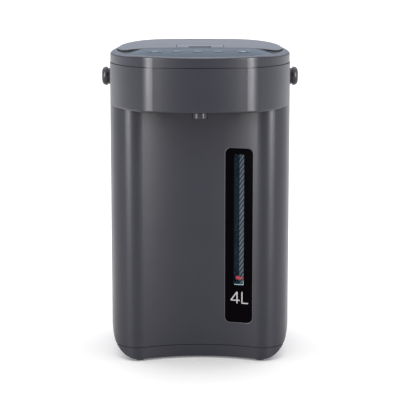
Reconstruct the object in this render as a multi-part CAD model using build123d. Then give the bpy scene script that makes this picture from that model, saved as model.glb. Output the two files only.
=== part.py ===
from build123d import *
import math
import os

# Electric thermo pot, about 4 litres, with an overhanging tap head, a side
# level gauge, a hinged lid with a release lever and a folding bail handle.
# Millimetres. X to the viewer's right, the front faces -Y, Z up.
# Origin: centre of the footprint of the whole pot, on the resting surface.

# ---------------------------------------------------------------- sizes
FRONT_Y = -140.0          # foremost line of the head
DEPTH = 285.0             # head front to the folded handle's rear
CASE_REAR_Y = 132.0       # rear of the case
FRONT_R = 179.0           # head front arc
FRONT_A = 16.4            # degrees, end of the front arc
CORNER_R = 31.0           # head corner arc
CORNER_A = 49.4           # degrees, end of the corner arc
SIDE_R = 152.3            # arc that leads into the side
FLANK_R = 1200.0          # nearly straight flank
CONCAVE_R = 152.0         # hollow front face under the head
CONCAVE_Y = -70.0         # deepest line of the hollow front face
LOWER_CORNER_R = 19.0     # corner between the hollow face and the side
LOWER_BLEND_R = 42.0      # eases that corner into the side arc
LOWER_BLEND_A = 37.0      # degrees, where the two meet
FLARE_R = 310.0           # the rolled bottom edge widens towards the front

WALL = 2.2                # outer case wall
FOOT_H = 2.0              # base rim above the surface
SEAM_Z = 15.5             # base cover / case parting line
HEAD_Z = 286.1            # underside of the head
RIM_Z = 334.2             # case / shoulder parting line
BOTTOM_ROUND = 40.0       # rolling radius along sides and rear at the bottom
CROWN_Z = 353.2           # highest line of the crowned top

POT_R = 86.0              # inner pot, inside radius
POT_T = 0.8               # inner pot wall
POT_BOTTOM = 62.0         # underside of the inner pot
FLANGE_Z = 321.0          # top of the inner pot's flange
NECK_R = 79.5             # inner pot, inside radius of the drawn-in mouth
MOUTH_R = 84.0            # hole in the shoulder's ledge

LID_FRONT_Y = -61.0
LID_REAR_Y = 116.8
LID_INSET = 7.0           # lid edge inside the rim outline
LID_PROUD = 0.5
LID_TAPER_Y = 15.0        # in front of this line the lid narrows
LID_SIDE_R = 235.0        # on this radius
LID_CORNER_R = 11.0       # front corners
LID_SKIRT_Z = 334.0
HINGE_Y = 120.5
HINGE_Z = 347.0
HINGE_PIN_R = 1.6

LEVER_Y = -38.0           # lever pivot
LEVER_Z = 346.4
LATCH_Y = -55.5           # latch claw pivot
LATCH_Z = 338.6

PIVOT_Y = 10.0            # bail pivot
PIVOT_Z = 315.0
BAIL_IN = 104.2           # inner face of the bail arms
BAIL_OUT = 109.0          # outer face of the bail arms
GRIP_OUT = 112.1          # outer radius of the grip across the back
BAIL_ARM = 23.2           # straight run from the pivot to the half round back
BAIL_REST = 10.0          # degrees that the folded handle hangs below level
CAP_OUT = 113.3           # outer face of the round pivot caps
CAP_R = 10.7
HUB_OUT = 107.0           # outer face of the hubs, under the caps

GAUGE_X0, GAUGE_X1 = 28.3, 58.5
GAUGE_Z0, GAUGE_Z1 = 42.8, 241.3
WINDOW_X0, WINDOW_X1 = 37.9, 49.1
WINDOW_Z0, WINDOW_Z1 = 86.0, 234.5
TUBE_X, TUBE_Y, TUBE_R = 41.4, -61.0, 4.5

NOZZLE_Y = -108.0
NOZZLE_R = 8.6
NOZZLE_Z = 277.6

KEY_X = (-49.0, -25.0, -3.0, 20.0, 47.0)
KEY_R = (8.0, 5.2, 5.2, 5.2, 7.0)
KEY_Y = -94.0
KEY_TRAVEL = 0.8
KEY_NAMES = ("key_dispense", "key_keep_warm", "key_reboil", "key_timer", "key_unlock")

# ---------------------------------------------------------------- outlines
def pol(c, r, a):
    """Point on a circle, angle measured from -Y towards +X."""
    return (c[0] + r * math.sin(math.radians(a)), c[1] - r * math.cos(math.radians(a)))

C1 = (0.0, FRONT_Y + FRONT_R)
C2 = pol(C1, FRONT_R - CORNER_R, FRONT_A)
C3 = pol(C2, CORNER_R - SIDE_R, CORNER_A)
HALF_W = C3[0] + SIDE_R                       # widest half width
SIDE_Y = C3[1]                                # where it is reached
_k = CASE_REAR_Y - SIDE_Y
REAR_R = (FLANK_R ** 2 - (FLANK_R - HALF_W) ** 2 - _k ** 2) / (2 * FLANK_R - 2 * _k)
C4 = (HALF_W - FLANK_R, SIDE_Y)
C5 = (0.0, CASE_REAR_Y - REAR_R)
FLANK_A = math.degrees(math.atan2(C5[1] - C4[1], C5[0] - C4[0]))
POT_Y = C5[1]                                 # the pot stands concentric with the rear

C7 = (0.0, CONCAVE_Y - CONCAVE_R)

def corner_at(a2):
    """Centres of the corner circle and of the blend circle that leaves the side arc at a2."""
    cb = pol(C3, SIDE_R - LOWER_BLEND_R, a2)
    return pol(cb, LOWER_BLEND_R - LOWER_CORNER_R, LOWER_BLEND_A), cb

def corner_gap(a2):
    """How far the corner circle is from touching the hollow arc."""
    c = corner_at(a2)[0]
    return math.hypot(c[0] - C7[0], c[1] - C7[1]) - (CONCAVE_R + LOWER_CORNER_R)

_lo, _hi = 60.0, 88.0
for _i in range(60):
    _m = (_lo + _hi) / 2
    if corner_gap(_lo) * corner_gap(_m) <= 0:
        _hi = _m
    else:
        _lo = _m
T_SIDE = _lo                                  # where the blend leaves the side arc
C6, C6B = corner_at(T_SIDE)
T_FACE = math.degrees(math.atan2(C7[0] - C6[0], -(C7[1] - C6[1])))

def arc3(c, r, a0, a1):
    return ThreePointArc(pol(c, r, a0), pol(c, r, (a0 + a1) / 2), pol(c, r, a1))

def rear_edges(off):
    """Right-hand flank from the widest point, round the rear, to the left-hand one."""
    f = FLANK_R - off
    r = REAR_R - off
    right = arc3(C4, f, 90, 90 + FLANK_A)
    rear = ThreePointArc(pol(C5, r, 90 + FLANK_A), (0, C5[1] + r), pol(C5, r, -(90 + FLANK_A)))
    left = ThreePointArc(*[(-x, y) for x, y in (pol(C4, f, 90 + FLANK_A), pol(C4, f, 90 + FLANK_A / 2), pol(C4, f, 90))])
    return [right, rear, left]

def mir(c, r, a0, a1):
    return ThreePointArc(*[(-x, y) for x, y in (pol(c, r, a0), pol(c, r, (a0 + a1) / 2), pol(c, r, a1))])

def upper_face(off=0.0):
    """Plan of the head, rim and shoulder, moved inwards by off."""
    e = [arc3(C1, FRONT_R - off, -FRONT_A, FRONT_A),
         arc3(C2, CORNER_R - off, FRONT_A, CORNER_A),
         arc3(C3, SIDE_R - off, CORNER_A, 90)]
    e += rear_edges(off)
    e += [mir(C3, SIDE_R - off, 90, CORNER_A), mir(C2, CORNER_R - off, CORNER_A, FRONT_A)]
    return Face(Wire(e))

def corner_edges(off):
    """Right-hand corner below the head: hollow face, corner, blend, side arc."""
    return [arc3(C6, LOWER_CORNER_R - off, T_FACE, LOWER_BLEND_A),
            arc3(C6B, LOWER_BLEND_R - off, LOWER_BLEND_A, T_SIDE),
            arc3(C3, SIDE_R - off, T_SIDE, 90)]

def corner_edges_left(off):
    return [mir(C3, SIDE_R - off, 90, T_SIDE), mir(C6B, LOWER_BLEND_R - off, T_SIDE, LOWER_BLEND_A),
            mir(C6, LOWER_CORNER_R - off, LOWER_BLEND_A, T_FACE)]

def lower_face(off=0.0):
    """Plan of the body below the head, with its hollow front face."""
    p = pol(C6, LOWER_CORNER_R - off, T_FACE)
    front = ThreePointArc((-p[0], p[1]), (0, C7[1] + CONCAVE_R + off), p)
    return Face(Wire([front] + corner_edges(off) + rear_edges(off) + corner_edges_left(off)))

def block_face(off=0.0):
    """Plain block: sides carried forwards and slightly outwards, round rear."""
    w = HALF_W - off
    r, cx, y0 = FLARE_R + off, HALF_W + FLARE_R, -160.0
    a = math.asin((SIDE_Y - y0) / r)
    x0, xm, ym = cx - r * math.cos(a), cx - r * math.cos(a / 2), SIDE_Y - r * math.sin(a / 2)
    e = [ThreePointArc((x0, y0), (xm, ym), (w, SIDE_Y))] + rear_edges(off)
    e += [ThreePointArc((-w, SIDE_Y), (-xm, ym), (-x0, y0)), Line((-x0, y0), (x0, y0))]
    return Face(Wire(e))

def prism(face, z0, z1):
    return extrude(Pos(0, 0, z0) * face, amount=z1 - z0, dir=(0, 0, 1))

def box(x0, x1, y0, y1, z0, z1):
    return Pos((x0 + x1) / 2, (y0 + y1) / 2, (z0 + z1) / 2) * Box(x1 - x0, y1 - y0, z1 - z0)

def cyl(x, y, z0, z1, r):
    return Pos(x, y, (z0 + z1) / 2) * Cylinder(r, z1 - z0)

def ring(x, y, z0, z1, ro, ri):
    return cyl(x, y, z0, z1, ro) - cyl(x, y, z0 - 1, z1 + 1, ri)

def xcyl(x0, x1, y, z, r):
    return Pos((x0 + x1) / 2, y, z) * Rot(0, 90, 0) * Cylinder(r, x1 - x0)

def ycyl(x, y0, y1, z, r):
    return Pos(x, (y0 + y1) / 2, z) * Rot(90, 0, 0) * Cylinder(r, y1 - y0)

def rrect_y(x0, x1, z0, z1, r, y0, y1):
    """Rounded rectangle in the XZ plane, carried along Y."""
    f = Rectangle(x1 - x0, z1 - z0)
    f = fillet(f.vertices(), r)
    f = Pos((x0 + x1) / 2, y0, (z0 + z1) / 2) * Rot(90, 0, 0) * f
    return extrude(f, amount=y1 - y0, dir=(0, 1, 0))

def one(shape):
    """The largest solid of a result."""
    s = shape.solids()
    return max(s, key=lambda q: q.volume)

def pipe(pts, radii, ro, ri=0.0):
    """Round tube along straight runs joined by tangent arcs."""
    path = FilletPolyline(*pts, radius=radii) if len(pts) > 2 else Line(*pts)
    w = path.wire() if hasattr(path, "wire") else Wire([path])
    d = Vector(*pts[1]) - Vector(*pts[0])
    pl = Plane(origin=pts[0], z_dir=d)
    t = sweep(pl * Circle(ro), path=w)
    if ri > 0:
        t = t - sweep(pl * Circle(ri), path=w)
    return t

# ---------------------------------------------------------------- crowned top
def crown_z(x, y):
    fx = 0.5 * (abs(x) / 60.0) ** 5 if abs(x) > 1e-6 else 0.0
    s0 = math.tan(math.radians(2.0))
    if y >= -62.0:
        gy = CROWN_Z - 0.4 - (y - 39.0) ** 2 / (2 * 2900.0)
    else:
        d = -62.0 - y
        gy = CROWN_Z - 0.4 - 101.0 ** 2 / (2 * 2900.0) - d * s0 - d * d / (2 * 792.0)
    return gy - fx

def ease(t):
    t = max(0.0, min(1.0, t))
    return t * t * (3 - 2 * t)

def ring_z(x, y):
    """The shoulder lies under the lid's crown: at its front corners, along the sides and at the rear."""
    s = ease((y + 25.0) / 80.0)
    corner = ease((abs(x) - 60.0) / 22.0) * (1 - 0.8 * ease((abs(x) - 88.0) / 14.0))
    return crown_z(x, y) - 1.9 * corner * (1 - s) - 1.4 * s - 0.00137 * max(0.0, y - 64.0) ** 2

def crown_solid(shift=0.0, depth=60.0, height=crown_z):
    """Everything between the crowned surface and depth below it."""
    n = 41
    pts = [[Vector(-124 + 248 * i / (n - 1), -152 + 304 * j / (n - 1), 0) for j in range(n)] for i in range(n)]
    pts = [[Vector(p.X, p.Y, height(p.X, p.Y) + shift) for p in row] for row in pts]
    f = Face.make_surface_from_array_of_points(pts, tol=5e-3, min_deg=3, max_deg=5)
    return Solid.extrude(f, Vector(0, 0, -depth))

def lid_face(off=0.0):
    """Plan of the lid: flanks and rear follow the rim, the front corners draw in."""
    d = math.degrees(math.asin((LID_TAPER_Y - SIDE_Y) / FLANK_R))
    c = pol(C4, FLANK_R - LID_INSET - LID_SIDE_R, 90 + d)
    r, f, rr = LID_SIDE_R - off, FLANK_R - LID_INSET - off, REAR_R - LID_INSET - off
    a0 = math.degrees(math.acos((c[1] + 90.0) / r))
    p = pol(c, r, a0)
    rear = ThreePointArc(pol(C5, rr, 90 + FLANK_A), (0, C5[1] + rr), pol(C5, rr, -(90 + FLANK_A)))
    e = [Line((-p[0], p[1]), p), arc3(c, r, a0, 90 + d), arc3(C4, f, 90 + d, 90 + FLANK_A), rear,
         mir(C4, f, 90 + FLANK_A, 90 + d), mir(c, r, 90 + d, a0)]
    y0, y1 = LID_FRONT_Y + off, LID_REAR_Y - off
    f = Face(Wire(e)) & (Pos(0, (y0 + y1) / 2) * Rectangle(260, y1 - y0))
    f = f.faces()[0]
    s = Sketch() + f
    s = fillet([v for v in s.vertices() if abs(v.Y - y0) < 1e-4], LID_CORNER_R - off)
    s = fillet([v for v in s.vertices() if abs(v.Y - y1) < 1e-4], 16.0 - off)
    return s.faces()[0]

parts = {}

# ---------------------------------------------------------------- outer case
def front_cut(off, z0, z1):
    """Everything in front of the hollow face and of the side arcs."""
    p = pol(C6, LOWER_CORNER_R - off, T_FACE)
    q = pol(C3, SIDE_R - off, 90)
    w = q[0] + 40.0
    e = [ThreePointArc((-p[0], p[1]), (0, C7[1] + CONCAVE_R + off), p)] + corner_edges(off)
    e += [Line(q, (w, q[1])), Line((w, q[1]), (w, -175)),
          Line((w, -175), (-w, -175)), Line((-w, -175), (-w, q[1])), Line((-w, q[1]), (-q[0], q[1]))]
    e += corner_edges_left(off)
    return prism(Face(Wire(e)), z0, z1)

def lower_solid(off, z0, z1, radius):
    b = prism(block_face(off), z0, z1)
    es = [e for e in b.edges() if abs(e.center().Z - z0) < 1e-3 and e.center().Y > -159 and
          max(abs(v.Z - z0) for v in e.vertices()) < 1e-3]
    b = fillet(es, radius)
    return b - front_cut(off, z0 - 5, z1 + 5)

def head_solid(off, z0, z1, radius):
    b = prism(upper_face(off), z0, z1)
    if radius > 0:
        es = [e for e in b.edges() if max(abs(v.Z - z0) for v in e.vertices()) < 1e-3 and e.center().Y < -20]
        b = fillet(es, radius)
    return b

body_outer = lower_solid(0, FOOT_H, HEAD_Z + 10, BOTTOM_ROUND) + head_solid(0, HEAD_Z, RIM_Z - 0.4, 2.2)
body_inner = lower_solid(WALL, FOOT_H + 2.4, HEAD_Z + 10, BOTTOM_ROUND - WALL) + head_solid(WALL, HEAD_Z + 2.2, RIM_Z + 5, 0)
case_shell = body_outer - body_inner

# opening in the head's floor for the tap plate, leaving a lip all round
tap_open = prism(upper_face(6.0), HEAD_Z - 1, HEAD_Z + 4) - prism(lower_face(-3.5), HEAD_Z - 2, HEAD_Z + 5)
tap_open = one(tap_open)
outer_case = case_shell & box(-150, 150, -160, 160, SEAM_Z + 0.3, RIM_Z + 20)
outer_case = outer_case - tap_open

# gauge recess and slot in the hollow front face
gauge_prism = rrect_y(GAUGE_X0, GAUGE_X1, GAUGE_Z0, GAUGE_Z1, 6.0, -95, -66)
gauge_cut = gauge_prism & (prism(Face(Wire([CenterArc(C7, CONCAVE_R + 1.3, 0, 360)])), 30, 250))
outer_case = outer_case - gauge_cut
outer_case = outer_case - rrect_y(GAUGE_X0 + 3, GAUGE_X1 - 3, GAUGE_Z0 + 6, GAUGE_Z1 - 3, 4.0, -95, -60)

# bail bosses on both flanks, bored for the pivot pins
for s in (-1, 1):
    boss = Pos(s * 102.0, PIVOT_Y, PIVOT_Z) * Rot(0, s * 90, 0) * Cone(17.0, 10.6, 4.0)
    inner_boss = xcyl(98.4, 101.0, PIVOT_Y, PIVOT_Z, 8.0) if s > 0 else xcyl(-101.0, -98.4, PIVOT_Y, PIVOT_Z, 8.0)
    boss = boss & box(-103.95, 103.95, -50, 60, 290, RIM_Z - 0.4)
    outer_case = outer_case + boss + inner_boss
    outer_case = outer_case - (xcyl(90, 110, PIVOT_Y, PIVOT_Z, 3.5) if s > 0 else xcyl(-110, -90, PIVOT_Y, PIVOT_Z, 3.5))

# opening for the power inlet at the rear, low down
INLET_Z = 58.0
outer_case = outer_case - rrect_y(-22, 22, INLET_Z - 13, INLET_Z + 13, 4.0, 118, 140)
# inner bosses that take the base screws
SCREWS = ((-58, -62), (58, -62), (-52, 84), (52, 84))
outer_case = one(outer_case)
parts["outer_case"] = outer_case

# ---------------------------------------------------------------- base cover
base = case_shell & box(-150, 150, -160, 160, 0, SEAM_Z - 0.3)
tongue = (lower_solid(WALL + 0.3, FOOT_H + 2.4, 80, BOTTOM_ROUND - WALL) - lower_solid(WALL + 1.8, FOOT_H + 3.0, 81, BOTTOM_ROUND - WALL))
tongue = tongue & box(-150, 150, -160, 160, 12.0, SEAM_Z + 4.0)
lip = (lower_solid(WALL - 0.6, FOOT_H + 1.8, 80, BOTTOM_ROUND - WALL) - lower_solid(WALL + 1.8, FOOT_H + 3.0, 81, BOTTOM_ROUND - WALL))
lip = lip & box(-150, 150, -160, 160, 11.0, 13.5)
base_cover = one(base + lip + tongue)
for x, y in SCREWS:
    base_cover = base_cover + cyl(x, y, FOOT_H + 2.0, 13.0, 5.0)
    base_cover = base_cover - cyl(x, y, FOOT_H - 1, 5.0, 3.4) - cyl(x, y, 4.0, 14.0, 1.7)
FEET = ((-68, -76.5), (68, -76.5), (-46, 72), (46, 72))
for x, y in FEET:
    base_cover = base_cover - cyl(x, y, FOOT_H - 1, FOOT_H + 1.0, 4.9)
for y in (20, 32, 44, 56):                      # drain and cooling slots
    base_cover = base_cover - box(-28, 28, y, y + 4, FOOT_H - 1, FOOT_H + 8)
parts["base_cover"] = one(base_cover)
parts["rubber_feet"] = [cyl(x, y, 0.0, FOOT_H + 1.0, 4.8) for x, y in FEET]

# frame that carries the works and takes the base screws
chassis = (cyl(0, POT_Y, 18.0, 20.5, 84.0) & box(-150, 150, -45, 104, 0, 60)) + box(-66, 66, -57, 20, 18.0, 20.5)
chassis = chassis + box(-66, -48, -70, -50, 18.0, 20.5) + box(48, 66, -70, -50, 18.0, 20.5)
for x, y in SCREWS:
    chassis = chassis + cyl(x, y, 13.0, 20.5, 5.0)
for x, y in SCREWS:
    chassis = chassis - cyl(x, y, 12.0, 19.0, 1.45)
MOTOR_X, MOTOR_Y = 30.0, -18.0
chassis = chassis - cyl(MOTOR_X, MOTOR_Y, 10, 30, 15.3)
parts["chassis"] = one(chassis)
base_screws = [cyl(x, y, FOOT_H + 0.8, 5.0, 3.0) + cyl(x, y, 4.9, 18.0, 1.4) for x, y in SCREWS]

# ---------------------------------------------------------------- tap head
BOARD_Z = 334.2
tap_plate = prism(upper_face(WALL + 0.4), HEAD_Z + 2.25, HEAD_Z + 4.2) - prism(lower_face(-1.0), HEAD_Z, HEAD_Z + 6)
tap_plate = one(tap_plate) + one(prism(upper_face(6.3), HEAD_Z + 0.9, HEAD_Z + 2.25) - prism(lower_face(-3.8), HEAD_Z, HEAD_Z + 6))
tap_plate = tap_plate - cyl(0, NOZZLE_Y, HEAD_Z - 5, HEAD_Z + 8, NOZZLE_R - 1.2)
for x, y in ((-54, -106), (54, -106), (-30, -117), (30, -117)):      # posts for the board
    tap_plate = tap_plate + cyl(x, y, HEAD_Z + 4.0, BOARD_Z, 3.2)
parts["tap_plate"] = one(tap_plate)
nozzle = cyl(0, NOZZLE_Y, NOZZLE_Z, HEAD_Z + 0.85, NOZZLE_R)
nozzle = fillet([e for e in nozzle.edges() if e.center().Z < NOZZLE_Z + 0.1], 1.2)
nozzle = nozzle + cyl(0, NOZZLE_Y, HEAD_Z + 0.5, HEAD_Z + 8.0, NOZZLE_R - 1.3)
nozzle = nozzle - cyl(0, NOZZLE_Y, NOZZLE_Z - 1, HEAD_Z + 9, 4.1)
parts["nozzle"] = one(nozzle)

# ---------------------------------------------------------------- shoulder ring
R_BOT = RIM_Z + 0.4
R_OFF = 0.5
R_WALL = 2.4
crown0 = crown_solid(0.0, height=ring_z)
crown_in = crown_solid(-R_WALL, height=ring_z)
ring_out = prism(upper_face(R_OFF), R_BOT, 360) & crown0
try:
    top_es = [e for e in ring_out.edges() if e.center().Z > 340 and (max(v.Z for v in e.vertices()) - min(v.Z for v in e.vertices())) < 6]
    ring_out = fillet(top_es, 1.8)
except Exception as ex:
    print("shoulder rim fillet left out:", ex)
ring_in = prism(upper_face(R_OFF + R_WALL), R_BOT - 5, 360) & crown_in
shoulder = ring_out - ring_in
well_out = prism(lid_face(-0.8 - 2.2), FLANGE_Z, 360) & crown0
well_in = prism(lid_face(-0.8), FLANGE_Z + 2.0, 362)
shoulder = shoulder + well_out
# tongue inside the case
tng = (prism(upper_face(WALL + 0.35), RIM_Z - 6.0, R_BOT + 3) - prism(upper_face(WALL + 2.0), RIM_Z - 8, R_BOT + 5))
shoulder = shoulder + tng
shoulder = shoulder - well_in
shoulder = shoulder - cyl(0, POT_Y, FLANGE_Z - 5, FLANGE_Z + 5, MOUTH_R)
# block with the notch for the lid's hinge knuckles
HX = 33.0
blk = box(-HX - 3, HX + 3, 117.2, 127.0, 336.0, 362) & crown0
shoulder = shoulder + (blk & prism(upper_face(R_OFF + 0.6), 330, 362))
shoulder = shoulder - well_in
shoulder = shoulder - box(-HX, HX, 115.0, 124.2, 340.6, 362)
shoulder = shoulder - box(-HX, HX, 123.0, 140, 346.6, 362)
for x0, x1 in ((-HX - 0.5, -28), (-3, 3), (28, HX + 0.5)):
    lug = box(x0, x1, 118.2, 123.2, 340.0, HINGE_Z) + xcyl(x0, x1, HINGE_Y, HINGE_Z, 2.7)
    shoulder = shoulder + lug
shoulder = shoulder - xcyl(-HX - 1.0, HX + 1.0, HINGE_Y, HINGE_Z, HINGE_PIN_R)
# catch slots for the two claws in the well's front wall
for s in (-1, 1):
    shoulder = shoulder - box(s * 30 - 4, s * 30 + 4, -65.0, LID_FRONT_Y, 330.0, 335.0)
# recess and holes for the film and the keys
def film_face(off=0.0):
    f = upper_face(8.0 + off) & (Pos(0, -150 - 0) * Rectangle(260, 2 * (150 + LID_FRONT_Y - 5.0 - off)))
    f = f.faces()[0]
    s = Sketch() + f
    yy = max(v.Y for v in s.vertices())
    return fillet([v for v in s.vertices() if abs(v.Y - yy) < 1e-4], 9.0).faces()[0]
film_zone = prism(film_face(0.0), 330, 362)
film_cut = film_zone - crown_solid(-0.6, height=ring_z)
shoulder = shoulder - (film_cut & box(-120, 120, -150, -60, 335, 362))
film = (prism(film_face(0.12), 330, 362) & crown0) - crown_solid(-0.5, height=ring_z)
for x, r in zip(KEY_X, KEY_R):
    shoulder = shoulder - cyl(x, KEY_Y, 338, 360, r + 0.35)
    film = film - cyl(x, KEY_Y, 338, 360, r + 0.3)
LED_Y = -112.0
for x in KEY_X:
    shoulder = shoulder - cyl(x, LED_Y, 338, 360, 1.3)
    film = film - cyl(x, LED_Y, 338, 360, 1.3)
shoulder = one(shoulder)
parts["shoulder_ring"] = shoulder
parts["panel_film"] = one(film)

# ---------------------------------------------------------------- keys, lamps, control board
for name, x, r in zip(KEY_NAMES, KEY_X, KEY_R):
    head = cyl(x, KEY_Y, 341.4, 360, r) & crown_solid(0.25, height=ring_z)
    k = head + cyl(x, KEY_Y, 341.4, 342.6, r + 1.6) + cyl(x, KEY_Y, BOARD_Z + 6.2, 341.6, 2.0)
    parts[name] = one(k)
lamps = []
for x in KEY_X:
    lamps.append(one((cyl(x, LED_Y, 338.6, 360, 1.25) & crown0) + cyl(x, LED_Y, 338.6, 339.6, 2.0)))
parts["indicator_lenses"] = lamps
board = box(-58, 58, -110, -74, BOARD_Z, BOARD_Z + 1.6) + box(-42, 42, -121, -108, BOARD_Z, BOARD_Z + 1.6)
parts["control_board"] = board
parts["tact_switches"] = [box(x - 3, x + 3, KEY_Y - 3, KEY_Y + 3, BOARD_Z + 1.6, BOARD_Z + 4.0) + cyl(x, KEY_Y, BOARD_Z + 4.0, BOARD_Z + 5.0, 1.6) for x in KEY_X]
board_screws = [cyl(x, y, BOARD_Z + 1.6, BOARD_Z + 3.0, 2.6) for x, y in ((-54, -106), (54, -106), (-30, -117), (30, -117))]

parts["case_screws"] = base_screws + board_screws

# ---------------------------------------------------------------- inner pot and heater
DRAIN_X, DRAIN_Y = MOTOR_X, MOTOR_Y
def pot_half(r, neck, z0, z1, rc):
    """Half section of the pot: floor corner, straight wall, drawn-in neck."""
    zs = z1 - 26.0
    e = [Line((0, z0), (r - rc, z0)), ThreePointArc((r - rc, z0), (r - rc + rc * math.sin(math.pi / 4), z0 + rc - rc * math.cos(math.pi / 4)), (r, z0 + rc)),
         Line((r, z0 + rc), (r, zs)),
         Line((r, zs), (neck, zs + 13.0)), Line((neck, zs + 13.0), (neck, z1)), Line((neck, z1), (0, z1)), Line((0, z1), (0, z0))]
    return Pos(0, POT_Y, 0) * revolve(Rot(90, 0, 0) * Face(Wire(e)), Axis.Z)

pot = pot_half(POT_R + POT_T, NECK_R + POT_T, POT_BOTTOM, FLANGE_Z - 0.4, 9.0)
hollow = pot_half(POT_R, NECK_R, POT_BOTTOM + POT_T, FLANGE_Z - 0.4, 8.2) + cyl(0, POT_Y, FLANGE_Z - 5, FLANGE_Z + 4, NECK_R)
pot = pot + cyl(0, POT_Y, FLANGE_Z - 0.8, FLANGE_Z, 86.0)
pot = pot - hollow
pot = pot + cyl(DRAIN_X, DRAIN_Y, POT_BOTTOM - 6.0, POT_BOTTOM + 0.4, 5.0)
pot = pot - cyl(DRAIN_X, DRAIN_Y, POT_BOTTOM - 7.0, POT_BOTTOM + 2, 4.2)
parts["inner_pot"] = one(pot)
parts["pot_gasket"] = ring(0, POT_Y, FLANGE_Z - 2.8, FLANGE_Z - 0.8, 86.4, 80.8)
support = ring(0, POT_Y, FLANGE_Z - 8.0, FLANGE_Z - 2.8, 95.0, 80.8)
parts["pot_support_ring"] = support
parts["heat_shield"] = ring(0, POT_Y, 74.0, FLANGE_Z - 8.0, 89.6, 88.8)
HB = POT_BOTTOM - 5.5
heater = ring(0, POT_Y, HB, POT_BOTTOM, 49.0, 9.0)
heater = heater + box(-34, -28, POT_Y - 6, POT_Y - 5.2, HB - 7, HB + 0.5) + box(-34, -28, POT_Y + 5.2, POT_Y + 6, HB - 7, HB + 0.5)
parts["heater_plate"] = one(heater)
parts["temperature_sensors"] = [cyl(0, POT_Y, POT_BOTTOM - 12, POT_BOTTOM, 6.0), cyl(28.0, POT_Y + 14, HB - 8, HB, 8.0)]

# ---------------------------------------------------------------- pump
PX, PY = MOTOR_X, MOTOR_Y
HZ = 36.9                 # underside of the pump housing
housing = cyl(PX, PY, HZ, HZ + 11.5, 22.0) - cyl(PX, PY, HZ + 1.5, HZ + 10.0, 19.5)
housing = housing + cyl(PX, PY, HZ + 11.4, HZ + 18.0, 5.0) - cyl(PX, PY, HZ + 8.5, HZ + 19.0, 3.6)
OUT_X = TUBE_X
OUT_Z = HZ + 5.7
housing = housing + ycyl(OUT_X, -46.0, -32.0, OUT_Z, 4.6)
housing = housing - ycyl(OUT_X, -47.0, -30.0, OUT_Z, 3.3)
housing = housing + cyl(PX, PY, HZ + 1.4, HZ + 2.5, 3.0) + cyl(PX, PY, HZ + 2.4, HZ + 9.3, 1.2)
parts["pump_housing"] = one(housing)
imp = cyl(PX, PY, HZ + 2.9, HZ + 4.9, 15.5)
for i in range(6):
    a = i * 60
    blade = Pos(PX, PY, 0) * Rot(0, 0, a) * box(3.4, 15.0, -0.7, 0.7, HZ + 4.7, HZ + 8.2)
    imp = imp + blade
imp = imp + cyl(PX, PY, HZ + 2.9, HZ + 8.2, 3.8)
imp = imp - cyl(PX, PY, HZ, HZ + 12, 1.25)
parts["pump_impeller"] = one(imp)
parts["magnet_rotor"] = one(cyl(PX, PY, 32.2, HZ - 0.6, 14.0) - cyl(PX, PY, 30, HZ, 1.5))
parts["motor_shaft"] = cyl(PX, PY, 20.0, HZ - 0.6, 1.5)
motor = cyl(PX, PY, 8.0, 31.2, 15.0) - cyl(PX, PY, 19.5, 33.0, 1.56)
parts["pump_motor"] = one(motor)
bracket = ring(PX, PY, 20.0, HZ, 22.0, 16.0) - box(PX - 30, PX + 30, PY - 4, PY + 4, 23, 33) - box(PX - 4, PX + 4, PY - 30, PY + 30, 23, 33)
parts["chassis"] = one(parts["chassis"] + bracket)
# elbow from the pump outlet up to the gauge tube
elb = pipe([(OUT_X, -40.5, OUT_Z), (OUT_X, TUBE_Y, OUT_Z), (OUT_X, TUBE_Y, 84.0)], [9.0], 6.4, 4.64)
parts["lower_elbow"] = one(elb)
parts["gauge_tube"] = one(ring(TUBE_X, TUBE_Y, 74.0, 262.0, TUBE_R, 3.4))

# ---------------------------------------------------------------- outlet path in the head
parts["silicone_sleeves"] = [ring(PX, PY, HZ + 12.5, POT_BOTTOM - 0.6, 7.0, 5.02), ring(TUBE_X, TUBE_Y, 252.0, 276.0, 6.4, TUBE_R + 0.05)]
TV_Z1 = 306.0
tv = cyl(TUBE_X, TUBE_Y, 276.0, TV_Z1, 8.6) + cyl(TUBE_X, TUBE_Y, 264.0, 276.1, TUBE_R)
tv = tv - cyl(TUBE_X, TUBE_Y, 263.0, 279.0, 3.0) - cyl(TUBE_X, TUBE_Y, 279.0, 303.0, 6.6)
tv = tv + ycyl(TUBE_X, -76.0, -68.0, 296.0, 4.4) - ycyl(TUBE_X, -77.0, -64.0, 296.0, 3.0)
parts["tip_valve_housing"] = one(tv)
parts["tip_valve_ball"] = Pos(TUBE_X, TUBE_Y, 282.6) * Sphere(4.6)
sp = pipe([(TUBE_X, -76.2, 296.0), (TUBE_X, NOZZLE_Y, 296.0), (0, NOZZLE_Y, 303.0), (0, NOZZLE_Y, 286.0)], [14.0, 8.0], 3.9, 2.8)
parts["spout_tube"] = one(sp)

# ---------------------------------------------------------------- gauge
def hollow_band(r0, r1, z0, z1):
    return prism(Face(Wire([CenterArc(C7, r1, 0, 360)])), z0, z1) - prism(Face(Wire([CenterArc(C7, r0, 0, 360)])), z0 - 1, z1 + 1)
band = hollow_band(CONCAVE_R - 0.5, CONCAVE_R + 1.2, 30, 250)
bez = rrect_y(GAUGE_X0 + 0.15, GAUGE_X1 - 0.15, GAUGE_Z0 + 0.15, GAUGE_Z1 - 0.15, 5.9, -95, -60) & band
win = rrect_y(WINDOW_X0, WINDOW_X1, WINDOW_Z0, WINDOW_Z1, 1.2, -95, -60)
parts["gauge_bezel"] = one(bez - win)
lens = rrect_y(WINDOW_X0 + 0.02, WINDOW_X1 - 0.02, WINDOW_Z0 + 0.02, WINDOW_Z1 - 0.02, 1.2, -95, -60) & hollow_band(CONCAVE_R - 0.2, CONCAVE_R + 1.2, 30, 250)
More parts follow.
